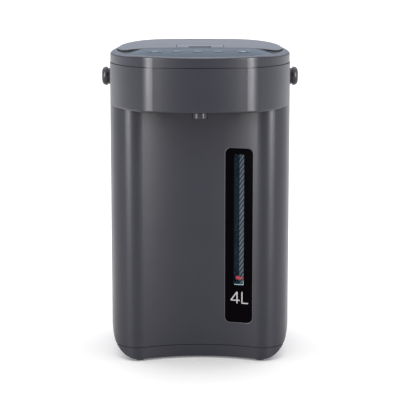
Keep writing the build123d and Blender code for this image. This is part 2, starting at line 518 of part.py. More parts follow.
lens = lens + (rrect_y(WINDOW_X0 - 2, WINDOW_X1 + 2, WINDOW_Z0 - 2, WINDOW_Z1 + 2, 2.0, -95, -60) & hollow_band(CONCAVE_R + 1.25, CONCAVE_R + 2.2, 30, 250))
lens = lens + (rrect_y(WINDOW_X0 + 0.3, WINDOW_X1 - 0.3, WINDOW_Z0 + 0.3, WINDOW_Z1 - 0.3, 1.0, -95, -60) & hollow_band(CONCAVE_R + 1.0, CONCAVE_R + 1.5, 30, 250))
parts["gauge_lens"] = one(lens)
card = box(44.2, 50.6, -69.6, -68.9, 82.0, 238.0) + box(36.0, 50.6, -69.6, -68.9, 78.0, 84.0)
parts["gauge_card"] = one(card)
# channel that carries tube and card behind the front face
chan = box(34.0, 54.0, -68.8, -53.0, 86.0, 246.0) - box(35.4, 52.6, -70.0, -54.4, 84.0, 248.0)
parts["gauge_channel"] = one(chan)

# ---------------------------------------------------------------- power
parts["power_board"] = box(-52, -12, -50, 10, 24.0, 25.6)
parts["board_parts"] = [box(-18, -8, -84, -77.5, BOARD_Z + 1.6, BOARD_Z + 3.2), box(32, 40, -83, -77.5, BOARD_Z + 1.6, BOARD_Z + 3.2), box(-48, -34, -44, -28, 25.6, 42.0), box(-30, -18, -46, -36, 25.6, 38.0), cyl(-26, -18, 25.6, 45.0, 6.0), box(-48, -38, -16, 2, 25.6, 40.0)]
for x, y in ((-49, -47), (-15, -47), (-49, 7), (-15, 7)):
    parts["chassis"] = parts["chassis"] + cyl(x, y, 20.0, 24.0, 3.0)
parts["chassis"] = one(parts["chassis"])
inl = rrect_y(-21.8, 21.8, INLET_Z - 12.8, INLET_Z + 12.8, 3.9, 121.0, CASE_REAR_Y + 0.2)
inl = inl + (rrect_y(-25.0, 25.0, INLET_Z - 15, INLET_Z + 15, 3.9, 121.0, 124.6) & cyl(0, C5[1], 0, 200, REAR_R - WALL - 0.2))
inl = inl - rrect_y(-18.0, 18.0, INLET_Z - 9.0, INLET_Z + 9.0, 3.0, 124.4, 140)
for s in (-1, 1):
    inl = inl - ycyl(s * 6.0, 110, 130, INLET_Z, 1.72)
inl = inl & box(-40, 40, 100, 131.9, 30, 100)
parts["inlet_socket"] = one(inl)
parts["inlet_pins"] = [ycyl(s * 6.0, 114.0, 130.0, INLET_Z, 1.7) for s in (-1, 1)]
yoke = box(-16.5, 16.5, 124.5, 126.0, INLET_Z - 7.5, INLET_Z + 7.5)
for s in (-1, 1):
    yoke = yoke - ycyl(s * 6.0, 120, 130, INLET_Z, 3.2)
parts["inlet_yoke"] = one(yoke)
wires = []
wires.append(one(pipe([(-6, 114.0, INLET_Z), (-6, 104, INLET_Z), (-6, 104, 28), (-40, 60, 28), (-40, 13, 28.0)], [7.0, 10.0, 14.0], 1.5)))
wires.append(one(pipe([(6, 114.0, INLET_Z), (6, 102, INLET_Z), (6, 102, 32), (-32, 56, 32), (-32, 13, 32.0)], [7.0, 10.0, 14.0], 1.5)))
parts["mains_leads"] = wires

# ---------------------------------------------------------------- handle
hub_z = PIVOT_Z
BAIL_Y = PIVOT_Y + BAIL_ARM
def bail_plan(r_in, r_out):
    """U-shaped strap: straight arms and a half round back."""
    o = Circle(r_out) & (Pos(0, 150) * Rectangle(400, 300))
    i = Circle(r_in) & (Pos(0, 150) * Rectangle(400, 300))
    o = o + (Pos(0, -BAIL_ARM / 2) * Rectangle(2 * r_out, BAIL_ARM))
    i = i + (Pos(0, -BAIL_ARM / 2 - 1) * Rectangle(2 * r_in, BAIL_ARM + 2))
    return Pos(0, BAIL_Y) * (o - i)
bail = extrude(Pos(0, 0, hub_z - 6.2) * bail_plan(BAIL_IN, BAIL_OUT), amount=12.4, dir=(0, 0, 1))
# thicker grip across the back
grip = extrude(Pos(0, BAIL_Y, hub_z - 10.0) * ((Circle(GRIP_OUT) - Circle(BAIL_IN)) & (Pos(0, 106) * Rectangle(120, 60))), amount=20.0, dir=(0, 0, 1))
grip = fillet([e for e in grip.edges() if e.geom_type == GeomType.CIRCLE], 2.2)
bail = bail + grip
for s in (-1, 1):
    x0, x1 = sorted((s * BAIL_IN, s * (BAIL_OUT + 1)))
    xi0, xi1 = sorted((s * HUB_OUT, s * (BAIL_OUT + 1)))
    bail = bail - box(xi0, xi1, PIVOT_Y - 20, PIVOT_Y + 11.4, hub_z - 20, hub_z + 20)
    h0, h1 = sorted((s * BAIL_IN, s * HUB_OUT))
    bail = bail + xcyl(h0, h1, PIVOT_Y, hub_z, 9.2)
for s in (-1, 1):
    h0, h1 = sorted((s * 90, s * 115))
    bail = bail - xcyl(h0, h1, PIVOT_Y, hub_z, 3.55)
bail = Pos(0, PIVOT_Y, hub_z) * Rot(-BAIL_REST, 0, 0) * Pos(0, -PIVOT_Y, -hub_z) * bail
parts["handle_bail"] = one(bail)
caps = []
for s in (-1, 1):
    c0, c1 = sorted((s * HUB_OUT, s * CAP_OUT))
    c = xcyl(c0, c1, PIVOT_Y, hub_z, CAP_R)
    c = fillet([e for e in c.edges() if abs(abs(e.center().X) - CAP_OUT) < 0.01], 4.6)
    v0, v1 = sorted((s * 106.0, s * 109.9))
    c = c - xcyl(v0, v1, PIVOT_Y, hub_z, 6.2)
    caps.append(one(c))
parts["pivot_caps"] = caps
pins = []
for s in (-1, 1):
    a0, a1 = sorted((s * 96.4, s * 107.3))
    b0, b1 = sorted((s * 107.25, s * 109.1))
    pins.append(one(xcyl(a0, a1, PIVOT_Y, hub_z, 3.5) + xcyl(b0, b1, PIVOT_Y, hub_z, 5.4)))
parts["pivot_pins"] = pins

# ---------------------------------------------------------------- lid
lid_crown = crown_solid(LID_PROUD)
LID_RIM = 0.9             # height of the overhanging rim
lid_rim = (prism(lid_face(0.0), 338.0, 362) & lid_crown) - crown_solid(LID_PROUD - LID_RIM)
try:
    es = [e for e in lid_rim.edges() if min(abs(v.Z - crown_z(v.X, v.Y) - LID_PROUD) for v in e.vertices()) < 0.05 and max(abs(v.Z - crown_z(v.X, v.Y) - LID_PROUD) for v in e.vertices()) < 0.05]
    lid_rim = fillet(es, 0.75)
except Exception as ex:
    print("lid edge fillet left out:", ex)
lid_out = (prism(lid_face(1.0), LID_SKIRT_Z, 362) & crown_solid(LID_PROUD - LID_RIM / 2)) + lid_rim
cover = lid_out - (prism(lid_face(2.6), LID_SKIRT_Z - 1, 362) & crown_solid(LID_PROUD - 2.4))
# opening for the lever with a tray below it
TRAY_X = 26.6
tray_out = box(-TRAY_X - 1.6, TRAY_X + 1.6, -58.6 , -20.0, 341.0, 356) & lid_crown
tray_in = box(-TRAY_X, TRAY_X, -57.4, -21.6, 342.6, 362)
cover = cover + tray_out - tray_in
cover = cover - box(-7, 7, -55.2, -42, 340, 344)        # slot for the lever's hook
# steam outlet opening at the rear
VENT_Y = 98.0
cover = cover - box(-17, 17, VENT_Y - 7, VENT_Y + 7, 345, 362)
for s in (-1, 1):
    cover = cover - box(s * 30 - 3.4, s * 30 + 3.4, -64, -57.5, 332, 339.4)
# hinge knuckles on the lid
for x0, x1 in ((-27.4, -14), (14, 27.4)):
    arm = box(x0, x1, 114.8, HINGE_Y, 344.3, 347.6) + xcyl(x0, x1, HINGE_Y, HINGE_Z, 2.7)
    cover = cover + arm - xcyl(x0 - 1, x1 + 1, HINGE_Y, HINGE_Z, HINGE_PIN_R + 0.05)
parts["lid_cover"] = one(cover)
parts["hinge_pin"] = xcyl(-HX - 0.5, HX + 0.5, HINGE_Y, HINGE_Z, HINGE_PIN_R)

base_plate = prism(lid_face(2.75), LID_SKIRT_Z + 0.3, LID_SKIRT_Z + 2.5)
plug = ring(0, POT_Y, 326.0, LID_SKIRT_Z + 0.4, 80.4, 78.0)
plug_floor = cyl(0, POT_Y, 325.0, 327.0, 83.2)
lid_base = base_plate + plug + plug_floor
for s in (-1, 1):                                               # claws pass here
    lid_base = lid_base - box(s * 30 - 3.4, s * 30 + 3.4, -64, LATCH_Y + 5.0, 330, 340)
lid_base = lid_base - cyl(0, VENT_Y - 30, 327.0, 340, 8.05) - cyl(0, VENT_Y - 30, 320, 340, 3.0)
LID_SCREWS = ((-82.0, 20.0), (82.0, 20.0))
for x, y in LID_SCREWS:
    lid_base = lid_base - cyl(x, y, 330, 340, 1.45) - cyl(x, y, 333, LID_SKIRT_Z + 1.4, 3.1)
parts["lid_base"] = one(lid_base)
parts["lid_gasket"] = one(ring(0, POT_Y, 321.35, 325.0, 83.6, 80.6))
il = cyl(0, POT_Y, 317.0, 325.0, 77.6)
il = fillet([e for e in il.edges() if e.center().Z < 317.1], 3.0)
ilh = cyl(0, POT_Y, 317.6, 326.0, 77.0)
ilh = fillet([e for e in ilh.edges() if e.center().Z < 317.7], 2.4)
il = il - ilh
for i in range(8):
    a = math.radians(i * 45)
    il = il - cyl(30 * math.cos(a), POT_Y + 30 * math.sin(a), 315, 320, 2.0)
parts["inner_lid"] = one(il)
# steam path from the inner lid up to the vent
duct = cyl(0, VENT_Y - 30, 327.0, 340.0, 8.0) + box(-9, 9, VENT_Y - 30, VENT_Y + 6, 338.0, 345.5)
duct = duct - cyl(0, VENT_Y - 30, 325.0, 341.0, 6.0) - box(-7.4, 7.4, VENT_Y - 28.4, VENT_Y + 4.4, 339.5, 346.0)
parts["steam_duct"] = one(duct)
parts["steam_valve_ball"] = Pos(0, VENT_Y - 30, 330.05) * Sphere(4.2)
cap = box(-16.8, 16.8, VENT_Y - 6.8, VENT_Y + 6.8, 347.0, 362) & crown_solid(LID_PROUD + 0.1)
cap = cap + box(-18.5, 18.5, VENT_Y - 8.5, VENT_Y + 8.5, 346.0, 348.0)
for k in range(-2, 3):
    cap = cap - box(k * 6.0 - 1.9, k * 6.0 + 1.9, VENT_Y - 4.5, VENT_Y + 4.5, 340, 362)
parts["steam_vent_cap"] = one(cap)
# release lever: a flush paddle with a finger notch at the front
LEVER_T = 3.2
lev = box(-TRAY_X + 0.5, TRAY_X - 0.5, -56.8, -23.2, 340, 362) & (crown_solid(LID_PROUD + 0.1) - crown_solid(LID_PROUD - LEVER_T))
lev = lev - box(-12.6, 12.6, -60, -47.0, 340, 362)
lev = lev + box(-12.6, 12.6, -46.9, -44.6, 346.4, 349.4)
lev = lev + box(-5.0, 5.0, -45.9, -43.9, 337.0, 349.4) + box(-5.0, 5.0, -47.2, -43.9, 337.0, 338.8)   # hook under the latch's tail
for s in (-1, 1):
    x0, x1 = sorted((s * 20.0, s * (TRAY_X - 0.5)))
    lev = lev + xcyl(x0, x1, LEVER_Y, LEVER_Z, 2.7) + box(x0, x1, LEVER_Y - 2.7, LEVER_Y + 2.7, LEVER_Z, 349.2)
lev = lev - xcyl(-40, 40, LEVER_Y, LEVER_Z, 1.25)
parts["lid_lever"] = one(lev)
parts["lever_pin"] = xcyl(-TRAY_X - 1.6, TRAY_X + 1.6, LEVER_Y, LEVER_Z, 1.2)
cover = parts["lid_cover"] - xcyl(-30, 30, LEVER_Y, LEVER_Z, 1.2)
for x, y in LID_SCREWS:                                         # screw bosses under the top
    cover = cover + ((cyl(x, y, LID_SKIRT_Z + 2.6, 356, 3.4) & crown_solid(LID_PROUD - 1.5)) - cyl(x, y, 330, LID_SKIRT_Z + 9, 1.4))
parts["lid_cover"] = one(cover)
# latch: a cross shaft with two claws that reach down to the catch slots
lat = xcyl(-34, 34, LATCH_Y, LATCH_Z, 1.6)
for s in (-1, 1):
    x0, x1 = s * 30 - 2.6, s * 30 + 2.6
    lat = lat + box(x0, x1, LATCH_Y - 3.0, LATCH_Y + 1.4, 331.0, 338.6) + box(x0, x1, LATCH_Y - 5.2, LATCH_Y - 2.0, 331.0, 333.4)
lat = lat + box(-6, 6, LATCH_Y, LATCH_Y + 9.0, 339.2, 340.4)
parts["latch_claws"] = one(lat)
for x0, x1 in ((-22, -18), (18, 22)):
    parts["lid_base"] = parts["lid_base"] + box(x0, x1, LATCH_Y - 2.6, LATCH_Y + 4.6, 335.0, 340.8)
parts["lid_base"] = one(parts["lid_base"] - xcyl(-40, 40, LATCH_Y, LATCH_Z, 1.66) - xcyl(-17.8, -7.2, LATCH_Y, LATCH_Z, 3.1))
parts["lid_cover"] = one(parts["lid_cover"] - xcyl(-17.8, -7.2, LATCH_Y, LATCH_Z, 3.1))
# torsion spring of the latch: eight turns of wire round the cross shaft
SPRING_R, SPRING_WIRE, SPRING_PITCH, SPRING_TURNS = 2.35, 0.4, 1.0, 8
hx = Helix(pitch=SPRING_PITCH, height=SPRING_PITCH * SPRING_TURNS, radius=SPRING_R)
coil = sweep(Plane(origin=hx @ 0, z_dir=hx % 0) * Circle(SPRING_WIRE), path=hx, is_frenet=True)
parts["latch_spring"] = one(Pos(-16.5, LATCH_Y, LATCH_Z) * Rot(0, 90, 0) * coil)
parts["lid_screws"] = [cyl(x, y, LID_SKIRT_Z + 0.35, LID_SKIRT_Z + 1.4, 3.0) + cyl(x, y, LID_SKIRT_Z + 1.3, LID_SKIRT_Z + 7.6, 1.4) for x, y in LID_SCREWS]

# ---------------------------------------------------------------- write
os.makedirs("parts", exist_ok=True)
FRAME_Y = -FRONT_Y - DEPTH / 2                 # puts the origin at the centre of the footprint
for name, shape in parts.items():
    if isinstance(shape, (list, tuple)):
        sol = []
        for s in shape:
            sol += [Pos(0, FRAME_Y, 0) * q for q in s.solids()]
        shape = Compound(children=[Solid(s.wrapped) for s in sol]) if len(sol) > 1 else sol[0]
    else:
        shape = Pos(0, FRAME_Y, 0) * shape
    shape.label = name
    export_step(shape, os.path.join("parts", name + ".step"))
print(len(parts), "nodes written")
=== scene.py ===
import math

import bmesh
import bpy
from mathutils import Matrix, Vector
from mathutils.geometry import tessellate_polygon


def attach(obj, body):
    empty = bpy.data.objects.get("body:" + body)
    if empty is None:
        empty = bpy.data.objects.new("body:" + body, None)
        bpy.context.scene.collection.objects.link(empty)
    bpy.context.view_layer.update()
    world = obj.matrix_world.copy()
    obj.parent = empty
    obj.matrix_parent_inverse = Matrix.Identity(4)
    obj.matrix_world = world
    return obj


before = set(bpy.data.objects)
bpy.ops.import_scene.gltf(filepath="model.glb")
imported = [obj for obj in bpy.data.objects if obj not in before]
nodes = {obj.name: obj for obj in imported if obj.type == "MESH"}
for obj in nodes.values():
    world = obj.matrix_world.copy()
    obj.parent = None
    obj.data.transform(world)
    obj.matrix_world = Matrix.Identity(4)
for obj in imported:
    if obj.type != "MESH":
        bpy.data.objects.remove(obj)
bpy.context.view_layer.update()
scene = bpy.context.scene

# ------------------------------------------------------------ colour and view
scene.view_settings.view_transform = "Standard"
scene.view_settings.look = "None"
scene.view_settings.exposure = 0.0
scene.view_settings.gamma = 1.0


def lin(r, g, b):
    """sRGB 0-255 to linear."""
    out = []
    for c in (r, g, b):
        c /= 255.0
        out.append(c / 12.92 if c <= 0.04045 else ((c + 0.055) / 1.055) ** 2.4)
    return (*out, 1.0)


FRONT_DIM, TOP_DIM = 0.15, 0.60       # world brightness towards the front and overhead
SOFT_AZ, SOFT_W, SOFT_P, SUN = 50.0, 0.58, 50.0, 2.75

# ------------------------------------------------------------ material helpers
class Mat:
    """A node material with short helpers. Coordinates are the object's own, in metres."""

    def __init__(self, name):
        self.m = bpy.data.materials.new(name)
        self.m.use_nodes = True
        self.t = self.m.node_tree
        self.bsdf = self.t.nodes["Principled BSDF"]
        self.out = self.t.nodes["Material Output"]
        self.coord = self.t.nodes.new("ShaderNodeTexCoord")

    def node(self, kind, **props):
        n = self.t.nodes.new(kind)
        for k, v in props.items():
            setattr(n, k, v)
        return n

    def link(self, a, b):
        self.t.links.new(a, b)

    def set(self, **values):
        for k, v in values.items():
            self.bsdf.inputs[k.replace("_", " ")].default_value = v
        return self

    def mapping(self, scale=(1, 1, 1), rot=(0, 0, 0), loc=(0, 0, 0)):
        n = self.node("ShaderNodeMapping")
        n.inputs["Scale"].default_value = scale
        n.inputs["Rotation"].default_value = rot
        n.inputs["Location"].default_value = loc
        self.link(self.coord.outputs["Object"], n.inputs["Vector"])
        return n.outputs["Vector"]

    def noise(self, scale, detail=4.0, rough=0.5, vector=None, dims="3D"):
        n = self.node("ShaderNodeTexNoise")
        n.inputs["Scale"].default_value = scale
        n.inputs["Detail"].default_value = detail
        n.inputs["Roughness"].default_value = rough
        self.link(vector or self.coord.outputs["Object"], n.inputs["Vector"])
        return n.outputs["Fac"]

    def ramp(self, fac, stops):
        n = self.node("ShaderNodeValToRGB")
        els = n.color_ramp.elements
        while len(els) < len(stops):
            els.new(0.5)
        for e, (p, c) in zip(els, stops):
            e.position = p
            e.color = c if len(c) == 4 else (*c, 1.0)
        self.link(fac, n.inputs["Fac"])
        return n.outputs["Color"]

    def remap(self, value, a, b, c, d):
        n = self.node("ShaderNodeMapRange")
        for k, v in (("From Min", a), ("From Max", b), ("To Min", c), ("To Max", d)):
            n.inputs[k].default_value = v
        self.link(value, n.inputs["Value"])
        return n.outputs["Result"]

    def math(self, op, a, b=None, clamp=False):
        n = self.node("ShaderNodeMath", operation=op, use_clamp=clamp)
        for i, v in enumerate((a, b)):
            if v is None:
                continue
            if isinstance(v, (int, float)):
                n.inputs[i].default_value = v
            else:
                self.link(v, n.inputs[i])
        return n.outputs[0]

    def mix(self, fac, a, b):
        n = self.node("ShaderNodeMix", data_type="RGBA")
        if isinstance(fac, (int, float)):
            n.inputs["Factor"].default_value = fac
        else:
            self.link(fac, n.inputs["Factor"])
        for sock, v in ((n.inputs["A"], a), (n.inputs["B"], b)):
            if isinstance(v, tuple):
                sock.default_value = v
            else:
                self.link(v, sock)
        return n.outputs["Result"]

    def xyz(self, vector=None):
        n = self.node("ShaderNodeSeparateXYZ")
        self.link(vector or self.coord.outputs["Object"], n.inputs[0])
        return n.outputs

    def depth(self, start, end, back=None):
        """0 on the crowned top, 1 deeper than end (in mm below it), and 0 again below back."""
        s = self.xyz()
        y = self.math("ADD", self.math("MULTIPLY", s["Y"], 1000.0), 2.5 - 39.0)
        gy = self.math("DIVIDE", self.math("MULTIPLY", y, y), 5800.0)
        fx = self.math("MULTIPLY", self.math("POWER", self.math("DIVIDE", self.math("ABSOLUTE", s["X"]), 0.060), 5.0), 0.5)
        top = self.math("SUBTRACT", self.math("SUBTRACT", 353.3, gy), fx)
        d = self.math("SUBTRACT", top, self.math("MULTIPLY", s["Z"], 1000.0))
        m = self.remap(d, start, end, 0.0, 1.0)
        if back:
            m = self.math("MULTIPLY", m, self.remap(d, back, back * 1.3, 1.0, 0.0))
        return m

    def bump(self, height, strength=0.1, distance=0.0002, normal=None):
        n = self.node("ShaderNodeBump")
        n.inputs["Strength"].default_value = strength
        n.inputs["Distance"].default_value = distance
        self.link(height, n.inputs["Height"])
        if normal is not None:
            self.link(normal, n.inputs["Normal"])
        self.link(n.outputs["Normal"], self.bsdf.inputs["Normal"])
        return n.outputs["Normal"]

    def colour(self, c):
        if isinstance(c, tuple):
            self.bsdf.inputs["Base Color"].default_value = c
        else:
            self.link(c, self.bsdf.inputs["Base Color"])

    def rough(self, r):
        if isinstance(r, (int, float)):
            self.bsdf.inputs["Roughness"].default_value = r
        else:
            self.link(r, self.bsdf.inputs["Roughness"])


def plastic(name, base, dark=None, rough=(0.30, 0.38), grain=2600.0, grain_depth=0.05, metallic=0.0,
            coat=0.0, coat_rough=0.15, speck=None, specular=0.5, painted_recess_shade=None):
    """Moulded plastic: fine spark-eroded grain, slow tone drift, faint handling marks; painted_recess_shade adds a
    painted shade below the crowned top.
    """
    m = Mat(name)
    dark = dark or tuple(c * 0.86 for c in base[:3]) + (1.0,)
    drift = m.noise(9.0, 3.0, 0.55)
    fine = m.noise(420.0, 3.0, 0.6)
    tone = m.math("ADD", m.math("MULTIPLY", drift, 0.7), m.math("MULTIPLY", fine, 0.3))
    c = m.ramp(tone, [(0.30, dark), (0.70, base)])
    if speck:
        flake = m.noise(5200.0, 1.0, 0.5)
        s = m.ramp(flake, [(0.62, (0, 0, 0, 1)), (0.74, (1, 1, 1, 1))])
        c = m.mix(m.math("MULTIPLY", s, speck[1]), c, speck[0])
    if painted_recess_shade:
        # painted shade: surfaces sunk below the crowned top (gaps, slots, recesses) are mixed towards near-black lin(7,
        # 8, 12), and their roughness is raised
        recess_shade_mask = m.depth(*painted_recess_shade)
        c = m.mix(recess_shade_mask, c, lin(7, 8, 12))
    m.colour(c)
    smudge = m.noise(34.0, 5.0, 0.62)
    r = m.remap(m.math("ADD", m.math("MULTIPLY", smudge, 0.75), m.math("MULTIPLY", fine, 0.25)), 0.3, 0.7, rough[0], rough[1])
    if painted_recess_shade:
        r = m.math("ADD", r, m.math("MULTIPLY", recess_shade_mask, 0.5), clamp=True)
    m.rough(r)
    h = m.noise(grain, 2.0, 0.6)
    m.bump(h, 0.35, grain_depth * 0.001)
    m.set(Metallic=metallic, Coat_Weight=coat, Coat_Roughness=coat_rough, Specular_IOR_Level=specular)
    return m


def metal(name, base, rough=(0.22, 0.34), direction=(1, 1, 60), scale=90.0, metallic=1.0, bump=0.12):
    """Brushed or drawn metal: streaks along one direction."""
    m = Mat(name)
    v = m.mapping(scale=direction)
    streak = m.noise(scale, 5.0, 0.65, v)
    drift = m.noise(14.0, 3.0)
    d = tuple(c * 0.82 for c in base[:3]) + (1.0,)
    m.colour(m.ramp(m.math("ADD", m.math("MULTIPLY", streak, 0.6), m.math("MULTIPLY", drift, 0.4)), [(0.3, d), (0.7, base)]))
    m.rough(m.remap(streak, 0.3, 0.7, rough[0], rough[1]))
    m.bump(streak, bump, 0.0001)
    m.set(Metallic=metallic)
    return m


def rubber(name, base, rough=(0.55, 0.75), scale=900.0):
    m = Mat(name)
    n = m.noise(scale, 4.0, 0.6)
    dust = m.noise(60.0, 4.0, 0.6)
    light = tuple(min(1.0, c * 1.35 + 0.01) for c in base[:3]) + (1.0,)
    m.colour(m.ramp(dust, [(0.35, base), (0.75, light)]))
    m.rough(m.remap(n, 0.3, 0.7, rough[0], rough[1]))
    m.bump(n, 0.25, 0.00008)
    return m


# ------------------------------------------------------------ materials
M = {}
M["body"] = plastic("body_satin", lin(16, 16, 25), lin(13, 13, 22), rough=(0.34, 0.39), grain=3000.0, grain_depth=0.02,
                    metallic=0.1, speck=(lin(66, 68, 76), 0.25), specular=0.5)
# lid: a lighter copy of the body plastic; its extra lightness is a painted reflection of the bright overhead.
# painted_recess_shade paints shade on the wall under the lid's rim
M["lid"] = plastic("lid_satin_painted_top_light", lin(60, 61, 68), lin(56, 57, 64), rough=(0.36, 0.42), grain=3000.0, grain_depth=0.02,
                   metallic=0.1, speck=(lin(110, 112, 122), 0.25), painted_recess_shade=(0.3, 0.8, 7.0))
# lever: lighter than the body plastic for a painted sheen along its band; painted_recess_shade paints shade in the
# finger notch
M["lever"] = plastic("lever_satin_painted_sheen", lin(60, 61, 68), lin(56, 57, 64), rough=(0.28, 0.34), grain=3000.0, grain_depth=0.015,
                     metallic=0.1, speck=(lin(110, 112, 122), 0.25), painted_recess_shade=(0.12, 0.4))
# painted_recess_shade paints shade in the vent cap's recesses
M["vent"] = plastic("vent_satin", lin(50, 51, 57), lin(46, 47, 53), rough=(0.38, 0.44), grain=3000.0, grain_depth=0.02,
                    painted_recess_shade=(0.6, 1.1))
M["rim"] = M["body"]
M["handle"] = plastic("handle_charcoal", lin(33, 33, 38), lin(28, 28, 33), rough=(0.28, 0.36), grain=1800.0, grain_depth=0.04, specular=0.35)
M["dark"] = plastic("dark_moulded", lin(34, 34, 37), rough=(0.45, 0.58), grain=1500.0, grain_depth=0.06)
M["dark_gloss"] = plastic("dark_gloss", lin(3, 2, 3), lin(2, 1, 2), rough=(0.24, 0.32), grain=700.0, grain_depth=0.004, specular=0.01)
M["nozzle"] = plastic("nozzle_gloss", lin(32, 31, 37), rough=(0.24, 0.30), grain=900.0, grain_depth=0.006, specular=0.4)
M["panel"] = plastic("panel_gloss", lin(30, 41, 49), lin(27, 37, 45), rough=(0.16, 0.24), grain=500.0, grain_depth=0.006, specular=0.05)
M["key"] = plastic("key_gloss", lin(32, 43, 51), lin(29, 39, 47), rough=(0.18, 0.26), grain=900.0, grain_depth=0.006, specular=0.05)
M["lamp"] = plastic("lamp_lens", lin(46, 56, 64), rough=(0.12, 0.22), grain=700.0, grain_depth=0.01, specular=0.08)
M["print"] = plastic("pale_print", lin(116, 125, 133), lin(109, 118, 126), rough=(0.4, 0.5), grain=900.0, grain_depth=0.004, specular=0.2)
M["white_print"] = plastic("white_print", lin(132, 131, 131), lin(124, 123, 123), rough=(0.45, 0.55), grain=900.0, grain_depth=0.004, specular=0.2)
M["red_print"] = plastic("red_print", lin(120, 30, 38), lin(108, 24, 32), rough=(0.4, 0.5), grain=900.0, grain_depth=0.004, specular=0.2)
M["channel"] = plastic("channel_dark", lin(18, 26, 32), lin(14, 21, 27), rough=(0.4, 0.5), grain=1500.0, grain_depth=0.03, specular=0.2)
# bead colour much lighter than the case: partly the bead's own colour, partly a painted highlight
M["trim"] = plastic("bezel_bead_painted_highlight", lin(54, 54, 59), lin(50, 50, 55), rough=(0.30, 0.36), grain=3000.0, grain_depth=0.01, specular=0.5)
# pale strip colour for a painted highlight on the gauge lens's lower edge
M["edge_clear"] = plastic("lens_edge_painted_highlight", lin(112, 138, 142), lin(96, 122, 128), rough=(0.15, 0.25), grain=900.0, grain_depth=0.004)
M["rubber"] = rubber("foot_rubber", lin(22, 22, 23))
M["silicone"] = rubber("milky_silicone", lin(205, 205, 198), rough=(0.35, 0.5), scale=500.0)
M["pale"] = plastic("natural_plastic", lin(206, 205, 200), rough=(0.4, 0.5), grain=1200.0, grain_depth=0.04)
M["stainless"] = metal("stainless_brushed", lin(196, 196, 197), direction=(1, 1, 40))
M["zinc"] = metal("zinc_steel", lin(176, 177, 180), rough=(0.28, 0.42), direction=(30, 1, 1))
M["spring"] = metal("spring_wire", lin(150, 150, 154), rough=(0.25, 0.35), direction=(20, 1, 1))
M["alu"] = metal("cast_aluminium", lin(176, 177, 178), rough=(0.45, 0.6), direction=(1, 1, 1), scale=220.0, bump=0.3)
M["brass"] = metal("plated_brass", lin(205, 190, 150), rough=(0.2, 0.3), direction=(1, 30, 1))
M["board"] = plastic("circuit_board", lin(34, 92, 56), rough=(0.35, 0.45), grain=900.0, grain_depth=0.03)
M["component"] = plastic("black_component", lin(28, 28, 30), rough=(0.4, 0.5), grain=1500.0, grain_depth=0.04)
M["magnet"] = plastic("ferrite", lin(58, 58, 60), rough=(0.5, 0.6), grain=1200.0, grain_depth=0.05)
M["lead"] = rubber("lead_insulation", lin(112, 74, 44), rough=(0.4, 0.5))

# clear parts
def clear(name, tint, rough, ior, alpha, specular):
    m = Mat(name)
    n = m.noise(140.0, 3.0)
    m.colour(m.ramp(n, [(0.3, tuple(c * 0.94 for c in tint[:3]) + (1.0,)), (0.7, tint)]))
    m.rough(m.remap(n, 0.3, 0.7, rough, rough + 0.05))
    m.set(IOR=ior, Alpha=alpha, Specular_IOR_Level=specular)
    m.bump(n, 0.05, 0.00003)
    return m


M["lens"] = clear("window_lens", lin(22, 34, 44), 0.05, 1.49, 0.22, 0.06)
M["tube"] = clear("gauge_tube_clear", lin(44, 62, 73), 0.08, 1.47, 0.55, 0.12)

# striped card behind half of the window: bright bands rising to the right
card = Mat("gauge_card_stripes")
s = card.xyz()
u = card.math("SUBTRACT", s["Z"], card.math("MULTIPLY", s["X"], 1.5))
f = card.math("FRACT", card.math("DIVIDE", u, 0.0059))
tri = card.math("ABSOLUTE", card.math("SUBTRACT", f, 0.5))
band = card.remap(tri, 0.22, 0.36, 0.0, 1.0)
wear = card.noise(260.0, 3.0)
c0 = card.ramp(wear, [(0.3, lin(50, 64, 74)), (0.7, lin(58, 73, 82))])
c1 = card.ramp(wear, [(0.3, lin(146, 158, 165)), (0.7, lin(156, 168, 175))])
card.colour(card.mix(band, c0, c1))
card.rough(card.remap(wear, 0.3, 0.7, 0.4, 0.5))
card.bump(wear, 0.1, 0.00002)
M["card"] = card

ASSIGN = {
    "outer_case": "body", "base_cover": "body", "shoulder_ring": "rim", "lid_cover": "lid", "lid_lever": "lever",
    "handle_bail": "handle", "pivot_caps": "handle", "tap_plate": "dark", "nozzle": "nozzle", "lid_base": "dark",
    "steam_vent_cap": "vent", "panel_film": "panel", "key_dispense": "key", "key_keep_warm": "key", "key_reboil": "key",
    "key_timer": "key", "key_unlock": "key", "indicator_lenses": "lamp", "gauge_bezel": "dark_gloss", "gauge_lens": "lens",
    "gauge_card": "card", "gauge_channel": "channel", "gauge_tube": "tube", "rubber_feet": "rubber", "chassis": "pale",
    "case_screws": "zinc", "lid_screws": "zinc", "control_board": "board", "power_board": "board", "board_parts": "component",
    "tact_switches": "component", "inner_pot": "stainless", "inner_lid": "stainless", "pot_support_ring": "pale",
    "heat_shield": "stainless", "pot_gasket": "silicone", "lid_gasket": "silicone", "silicone_sleeves": "silicone",
    "lower_elbow": "silicone", "spout_tube": "silicone", "heater_plate": "alu", "temperature_sensors": "zinc",
    "pump_housing": "pale", "pump_impeller": "pale", "magnet_rotor": "magnet", "motor_shaft": "zinc", "pump_motor": "zinc",
    "tip_valve_housing": "pale", "tip_valve_ball": "stainless", "inlet_socket": "dark", "inlet_pins": "brass",
    "inlet_yoke": "zinc", "mains_leads": "lead", "pivot_pins": "zinc", "hinge_pin": "zinc", "lever_pin": "zinc",
    "latch_claws": "dark", "latch_spring": "spring", "steam_duct": "pale", "steam_valve_ball": "stainless",
}
for name, o in nodes.items():
    o.data.materials.clear()
    o.data.materials.append(M[ASSIGN[name]].m)

def mesh_object(name, verts, faces, mat=None, smooth=True):
    me = bpy.data.meshes.new(name)
    me.from_pydata(verts, [], faces)
    me.update()
    o = bpy.data.objects.new(name, me)
    scene.collection.objects.link(o)
    if mat:
        me.materials.append(mat)
    if smooth:
        me.polygons.foreach_set("use_smooth", [True] * len(me.polygons))
    return o


